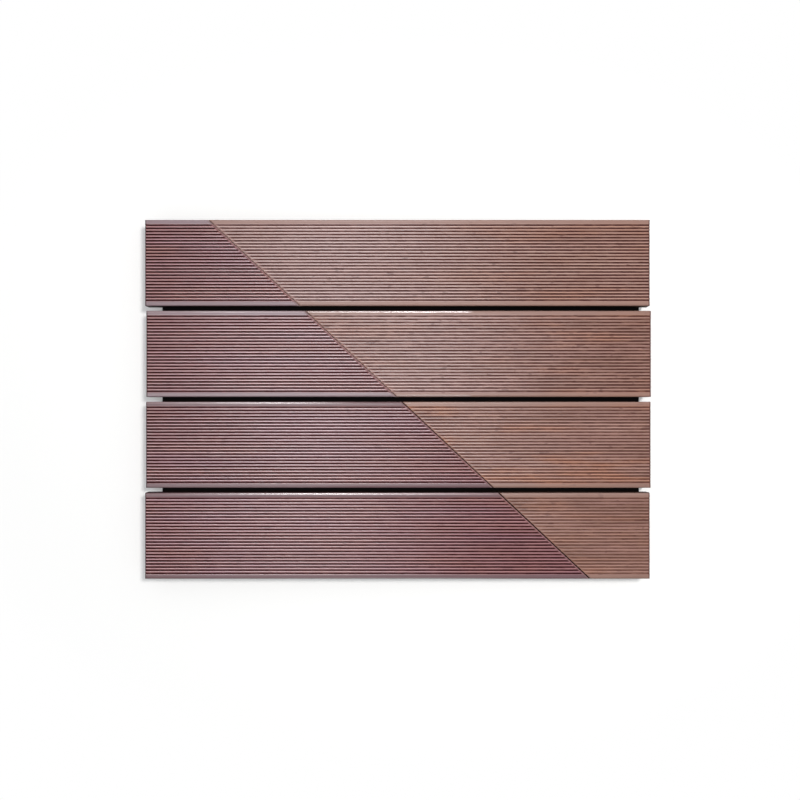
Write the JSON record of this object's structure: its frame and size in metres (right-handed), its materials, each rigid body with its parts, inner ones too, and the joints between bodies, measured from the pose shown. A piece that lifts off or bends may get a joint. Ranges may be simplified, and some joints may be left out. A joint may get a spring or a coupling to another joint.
{
  "type": "hardwood decking panel",
  "caption": "Flat panel of ribbed hardwood decking boards side by side on a dark backing sheet, crossed by one diagonal joint between a dark and a paler half.",
  "frame": {"origin": "middle of the panel at the underside of the backing sheet", "axes": "+X along the boards towards the paler half, +Y across the boards towards row 1, +Z out of the ribbed face"},
  "size_m": [0.85, 0.604, 0.037],
  "materials": {
    "dark_hardwood": "planed and ribbed, dark purple-brown, satin",
    "pale_hardwood": "planed and ribbed, warm brown with orange streaks, matt",
    "black_sheet": "black faced sheet, matt",
    "dark_seal": "dark brown jointing seal, matt"
  },
  "bodies": {
    "root": {"board_1_left": "dark_hardwood", "board_2_left": "dark_hardwood", "board_3_left": "dark_hardwood", "board_4_left": "dark_hardwood", "board_1_right": "pale_hardwood", "board_2_right": "pale_hardwood", "board_3_right": "pale_hardwood", "board_4_right": "pale_hardwood", "joint_seal_1": "dark_seal", "joint_seal_2": "dark_seal", "joint_seal_3": "dark_seal", "joint_seal_4": "dark_seal", "backing_sheet": "black_sheet"}
  },
  "joints": []
}
